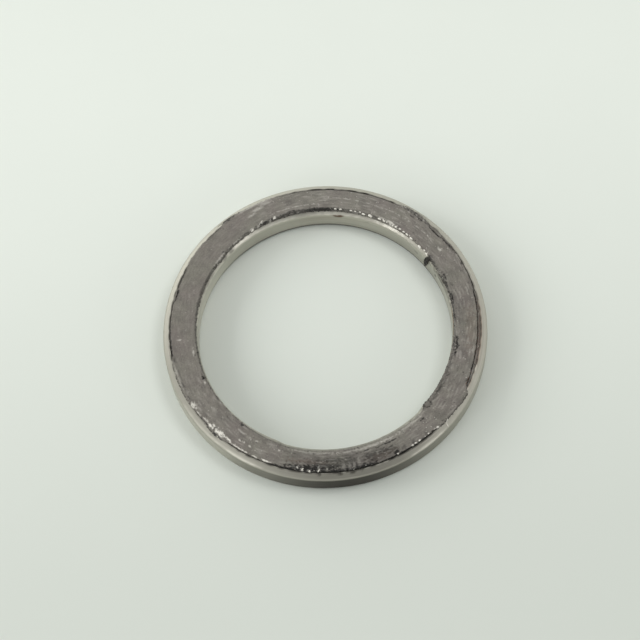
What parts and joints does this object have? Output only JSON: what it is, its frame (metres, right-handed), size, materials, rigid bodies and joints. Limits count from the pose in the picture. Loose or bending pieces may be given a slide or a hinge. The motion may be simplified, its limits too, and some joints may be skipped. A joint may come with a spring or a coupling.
{
  "type": "exhaust gasket",
  "caption": "Flat ring gasket for an exhaust port: pressed graphite and knitted wire held in a thin steel channel with both rims folded over.",
  "frame": {"origin": "centre of the ring on the plane of its closed underside, which is the face it lies on", "axes": "+Z along the ring's axis, from the closed underside of the channel towards the open, filled side; -Y is the side nearest the eye in the picture"},
  "size_m": [0.042, 0.042, 0.0038],
  "materials": {
    "worn_steel": "worn satin, slightly heat-tinted",
    "pressed_graphite": "rubbed, dull metallic grey with dark ragged edges"
  },
  "bodies": {
    "root": {"steel_channel": "worn_steel", "graphite_filler": "pressed_graphite"}
  },
  "joints": []
}
